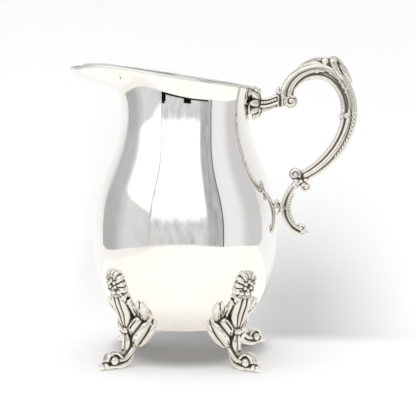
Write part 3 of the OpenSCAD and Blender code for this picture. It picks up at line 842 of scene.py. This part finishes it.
def plate_finish(name, grey, dull):
    """Polished plate: a mirror with faint haze, wiping marks and hairline scratches."""
    f = Finish(name)
    haze = f.noise(38, 4).rise(0.5, 0.78)
    smear = f.noise(9, 5, (1, 1, 0.35)).rise(0.55, 0.8)
    hair = f.noise(0.5, 2, (1, 1, 0.05)).rise(0.62, 0.72) * f.noise(14, 2).rise(0.45, 0.7)
    speck = f.noise(1.6, 2).rise(0.74, 0.8)
    # A grey below 1 makes a darker copy of the same plate: painted shade
    clean = (0.9 * grey, 0.89 * grey, 0.865 * grey, 1)
    warm = (0.84 * grey, 0.81 * grey, 0.755 * grey, 1)
    colour = f.blend(haze * 0.55 + smear * 0.25, clean, warm)
    colour = f.blend(speck * 0.25, colour, (0.55, 0.5, 0.43, 1))
    rough = dull + haze * 0.03 + smear * 0.03 + hair * 0.05 + speck * 0.12
    height = f.noise(26, 2) + f.noise(1.1, 3) * 0.004 + hair * 0.01
    return f.show(f.node("BsdfPrincipled", {}, {
        "Base Color": colour, "Metallic": 1.0, "Roughness": rough, "Normal": f.bump(height, 0.35, 0.06)}))


def casting_finish():
    """Cast silver: bright on the ridges, brown-black tarnish in the recesses."""
    f = Finish("casting_silver")
    recess = f.node("Attribute", {"attribute_name": "recess"}, {}, "Fac")
    grain = f.noise(1.3, 4)
    dark = (recess + (grain - 0.5) * 0.04).rise(0.478, 0.56)
    film = (recess + (f.noise(5, 3) - 0.5) * 0.12).rise(0.4, 0.56)
    wear = (1 - recess).rise(0.56, 0.7)
    colour = f.blend(film * 0.75, (0.77, 0.745, 0.69, 1), (0.36, 0.32, 0.26, 1))
    colour = f.blend(dark * 0.94, colour, (0.05, 0.04, 0.03, 1))
    colour = f.blend(wear * 0.5, colour, (0.9, 0.88, 0.83, 1))
    rough = 0.1 + film * 0.1 + dark * 0.3 + grain * 0.05 - wear * 0.04
    height = grain * 0.6 + f.noise(4, 2) * 0.5
    return f.show(f.node("BsdfPrincipled", {}, {
        "Base Color": colour, "Metallic": 1 - dark * 0.75, "Roughness": rough,
        "Normal": f.bump(height, 0.1, 0.14)}))


plate = plate_finish("plate_silver", grey=1, dull=0.035)
# The guard is the plate made darker: painted shade over the root of the spout
guard_plate_painted_shade = plate_finish("guard_silver", grey=0.34, dull=0.18)
# The rim wire is the plate made darker: a painted shade line along the lip
rim_plate_painted_shade = plate_finish("rim_silver_painted_shade", grey=0.78, dull=0.09)
cast = casting_finish()

edge_line = make_shell(plate)
make_wire(edge_line, rim_plate_painted_shade)
make_guard(guard_plate_painted_shade)

leg_points, leg_quads, leg_recess = leg_pattern()
for name, bearing in (("leg_front_left", -135), ("leg_front_right", -45),
                      ("leg_back_left", 135), ("leg_back_right", 45)):
    c, s = math.cos(math.radians(bearing)), math.sin(math.radians(bearing))
    turned = leg_points @ np.array([[c, s, 0], [-s, c, 0], [0, 0, 1]])
    piece("scroll_" + name, turned, leg_quads, cast, name, leg_recess)

grip_points, grip_quads, grip_recess = grip_pattern()
piece("grip_half_back", grip_points, grip_quads, cast, "handle_scroll_back", grip_recess)
piece("grip_half_front", grip_points * (1, -1, 1), grip_quads[:, ::-1], cast,
      "handle_scroll_front", grip_recess)
for name, node, pattern in (("neck_bracket", "handle_upper_bracket", upper_bracket_pattern),
                            ("thumb_leaf", "handle_thumb_leaf", thumb_leaf_pattern),
                            ("belly_bracket", "handle_lower_bracket", lower_bracket_pattern)):
    points, quads, recess = pattern()
    piece(name, points, quads, cast, node, recess)

# ---- Stage ----


def stage_mesh(name, points, faces, material, card=True):
    """Something that stands round the pitcher; a card is seen only in its mirrors."""
    mesh = bpy.data.meshes.new(name)
    mesh.from_pydata([tuple(p) for p in points], [], faces)
    mesh.materials.append(material)
    mesh.shade_smooth()
    made = add(name, mesh)
    if card:
        made.visible_camera = made.visible_diffuse = made.visible_shadow = made.visible_transmission = False
    return made


def sweep_finish():
    """White paper with painted shadows: soft ones where it turns up behind the pitcher, a dark one under it,
    and painted shade far to the left.
    """
    f = Finish("paper_sweep")
    x, y, z = f.axes()
    # Painted shadows: right and left of the pitcher on the cove, under its body, and far left where the
    # silver mirrors the paper
    right = y.rise(0.05, 0.11) * (1 - y.rise(0.2, 0.42)) * x.inside(0.01, 0.12, 0.09)
    left = y.rise(0.1, 0.3) * x.inside(-0.15, -0.05, 0.03) * (1 - z.rise(0.05, 0.26))
    across, deep = (x - axis_x * MM) * (1 / 0.062), (y - 0.045) * (1 / 0.085)  # over half the shade's size
    under = (1 - (across * across + deep * deep).rise(0.5, 1.4)) * 0.5
    far_left_painted_shade = (0 - x).rise(0.7, 1) * 0.24
    painted_shade = right * 0.48 * (1 - under) + left * 0.13 + under + far_left_painted_shade
    painted_shade_colour = f.blend(painted_shade, (0.95, 0.95, 0.95, 1), (0, 0, 0, 1))
    return f.show(f.one_sided(f.node("BsdfDiffuse", {}, {"Color": painted_shade_colour})))


strip_from, strip_to = -36, 49  # bearings of the opening between the boards


def room_finish():
    """A glowing card that only the silver mirrors, a painted reflection of what stands before the pitcher:
    grey boards either side of a white opening with hanging folds.
    """
    f = Finish("painted_room_reflection")
    x, y, z = f.axes()
    az = f.bearing(x, y)
    h = z * (1 / MM)
    # Painted reflection: grey levels of the boards, painted fold shading, a bright opening above the folds, a
    # darker curve and a dark seam
    level = 0.5 + (h - az * 0.9).rise(300, 430) * 0.06 + az.inside(-80, strip_from, 14) * 0.26
    level = level + (f.noise(120, 4) - 0.5) * 0.16
    right = az.rise(strip_to - 1, strip_to + 1)
    level = level * (1 - right) + right * (0.68 + az.inside(48, 78, 10) * 0.26)
    strip = (az + (f.noise(120, 1) - 0.5) * 6).inside(strip_from, strip_to, 1)
    folds = 0.7 + (f.noise(90, 3, (1, 1, 0.6)) - 0.5) * 0.8
    opening = (h + (f.noise(120, 2) - 0.5) * 110).rise(130, 280)
    inner = folds * (1 - opening) + opening * 1.35
    curve = az.rise(27, 32)
    inner = inner * (1 - curve) + curve * (0.5 + (f.noise(60, 2, (1, 1, 0.3)) - 0.5) * 0.5)
    level = level * (1 - strip) + strip * inner
    seam = az.inside(48.4, 49.6, 0.4) * 0.9
    level = level * (1 - seam)
    colour = f.node("CombineColor", {}, {0: level, 1: level * 0.995, 2: level})
    return f.show(f.node("Emission", {}, {"Color": colour, "Strength": 1.0}))


def glare_finish():
    """A bright window with a soft left edge and a slanting sill, clear all round."""
    f = Finish("window_glare")
    x, y, z = f.axes()
    az = f.bearing(x, y)
    h = z * (1 / MM) + (f.noise(22, 3) - 0.5) * 14
    share = az.rise(-80, -64) * (1 - az.rise(-36, -34)) * (h + (az + 40) * 1.3).rise(168, 190)
    light = f.node("Emission", {}, {"Color": (1, 1, 1, 1), "Strength": 1.6})
    clear = f.node("BsdfTransparent")
    return f.show(f.node("MixShader", {}, {0: share, 1: clear, 2: light}))


def curved_card(name, radius, first, last, low, high, material):
    """An upright card bent round the axis from bearing to bearing, and drawn out past 40 degrees."""
    count = 97
    turns = np.radians(np.linspace(first, last, count))
    reach = radius * (1 + 0.25 * smooth((turns - 0.7) / 0.9) + 0.05 * smooth((-turns - 0.7) / 0.9))
    points = [(r * math.sin(a), -r * math.cos(a), z if z > low else low * max(0, math.cos(a)))
              for z in (low, high) for r, a in zip(reach, turns)]
    faces = [(k, k + 1, k + count + 1, k + count) for k in range(count - 1)]
    stage_mesh(name, points, faces, material).location.x = axis_x * MM


def flat_marks(name, z, marks):
    """Level black boards that only the neck mirrors, put there as painted shadow marks in its reflection,
    each from bearing to bearing and near to far.
    """
    points, faces, count = [], [], 24
    for first, last, near, far in marks:
        turns = np.radians(np.linspace(first, last, count))
        start = len(points)
        points += [(r * math.sin(a), -r * math.cos(a), z) for r in (far, near) for a in turns]
        faces += [(k, k + 1, k + count + 1, k + count) for k in range(start, start + count - 1)]
    f = Finish("painted_shadow_board")
    black = f.show(f.one_sided(f.node("BsdfDiffuse", {}, {"Color": (0.004, 0.004, 0.004, 1)})))
    stage_mesh(name, points, faces, black).location.x = axis_x * MM


def sweep():
    """White paper that lies under the pitcher and turns up behind it."""
    half_width, front, bend, bend_r, top = 3, -3.2, 0.12, 0.36, 1.6
    turns = np.linspace(0, math.pi / 2, 24)
    cove = [(bend + bend_r * math.sin(a), bend_r * (1 - math.cos(a))) for a in turns]
    profile = [(front, 0), (-1, 0), *cove, (bend + bend_r, top)]
    points = [(x, y, z) for x in (-half_width, half_width) for y, z in profile]
    n = len(profile)
    faces = [(k, k + n, k + n + 1, k + 1) for k in range(n - 1)]
    stage_mesh("paper_sweep", points, faces, sweep_finish(), card=False)


def glow_finish():
    """What the lower bowl and the spout mirror of the paper below: warm white, dimmer beneath the bowl."""
    f = Finish("paper_glow")
    x, y, _ = f.axes()
    far = f.node("Math", {"operation": "SQRT"}, {0: x * x + y * y})
    open_paper = far.rise(0.01, 0.1)
    level = (0.75 + open_paper * 0.25) * (1 - (0 - x).rise(0.33, 0.48) * 0.12)
    level = level * (1 + (f.noise(14, 4) - 0.5) * (1 - open_paper) * 0.2)
    green, blue = level * (0.95 + open_paper * 0.04), level * (0.88 + open_paper * 0.08)
    colour = f.node("CombineColor", {}, {0: level, 1: green, 2: blue})
    return f.show(f.node("Emission", {}, {"Color": colour, "Strength": 1.15}))


def glow_card():
    """A disc that lies just over the paper."""
    sides, radius, lift = 72, 0.75, 0.0004
    turns = np.radians(np.arange(sides) * 360 / sides)
    points = [(0, 0, 0)] + [(radius * math.cos(a), radius * math.sin(a), 0) for a in turns]
    faces = [(0, 1 + k, 1 + (k + 1) % sides) for k in range(sides)]
    stage_mesh("paper_glow", points, faces, glow_finish()).location = (axis_x * MM, 0, lift)


sweep()
glow_card()
# Glowing card seen only in the silver: the painted reflection of the room
curved_card("painted_room_reflection", radius=0.57, first=-113, last=109, low=0.035, high=1.3, material=room_finish())
curved_card("window_glare", radius=0.25, first=-84, last=-34, low=0.15, high=0.5, material=glare_finish())
# Black marks that paint the rail's shadow into the neck's reflection
flat_marks("painted_rail_shadow", z=0.11, marks=[(-36, 42, 0.34, 0.37), (1, 13, 0.36, 0.46),
                                          (-36, -29, 0.34, 0.5), (-36, -31, 0.5, 0.75)])

world = bpy.data.worlds.new("studio")
world.use_nodes = True
room_light = world.node_tree.nodes["Background"].inputs
room_light["Color"].default_value = (1, 1, 0.995, 1)
room_light["Strength"].default_value = 0.66
bpy.context.scene.world = world


def face(made, place, way):
    """Stands a lamp or camera at a place and turns it to look along a way."""
    made.location = place
    made.rotation_mode = "QUATERNION"
    made.rotation_quaternion = way.to_track_quat("-Z", "Y")


def soft_light(name, place, aim, size, power):
    """A round lamp that the silver doesn't mirror."""
    data = bpy.data.lights.new(name, "AREA")
    data.shape, data.size, data.energy = "DISK", size, power
    lamp = add(name, data)
    face(lamp, place, Vector(aim) - Vector(place))
    lamp.visible_glossy = False


soft_light("overhead", place=(-0.15, -0.35, 1.7), aim=(0, 0.1, 0), size=1.6, power=12)
soft_light("wash", place=(0.1, -1.5, 1.2), aim=(0, 0.4, 0.3), size=1.2, power=3)

# ---- Camera ----

bearing, distance, height = math.radians(4.5), 1.125, 0.231  # from the axis, in metres
pan, tilt = 0.01615, 0.09815  # to the right and down, for each metre ahead
sensor = 36
lens = 1406 / 416 * sensor
forward = Vector((-math.sin(bearing), math.cos(bearing), 0))
aside = Vector((math.cos(bearing), math.sin(bearing), 0))
data = bpy.data.cameras.new("camera")
data.lens, data.sensor_width = lens, sensor
data.clip_start, data.clip_end = 0.05, 20
camera = add("camera", data)
face(camera, Vector((axis_x * MM, 0, height)) - forward * distance,
     forward + pan * aside - Vector((0, 0, tilt)))
bpy.context.scene.camera = camera
bpy.context.scene.view_settings.view_transform = "Standard"
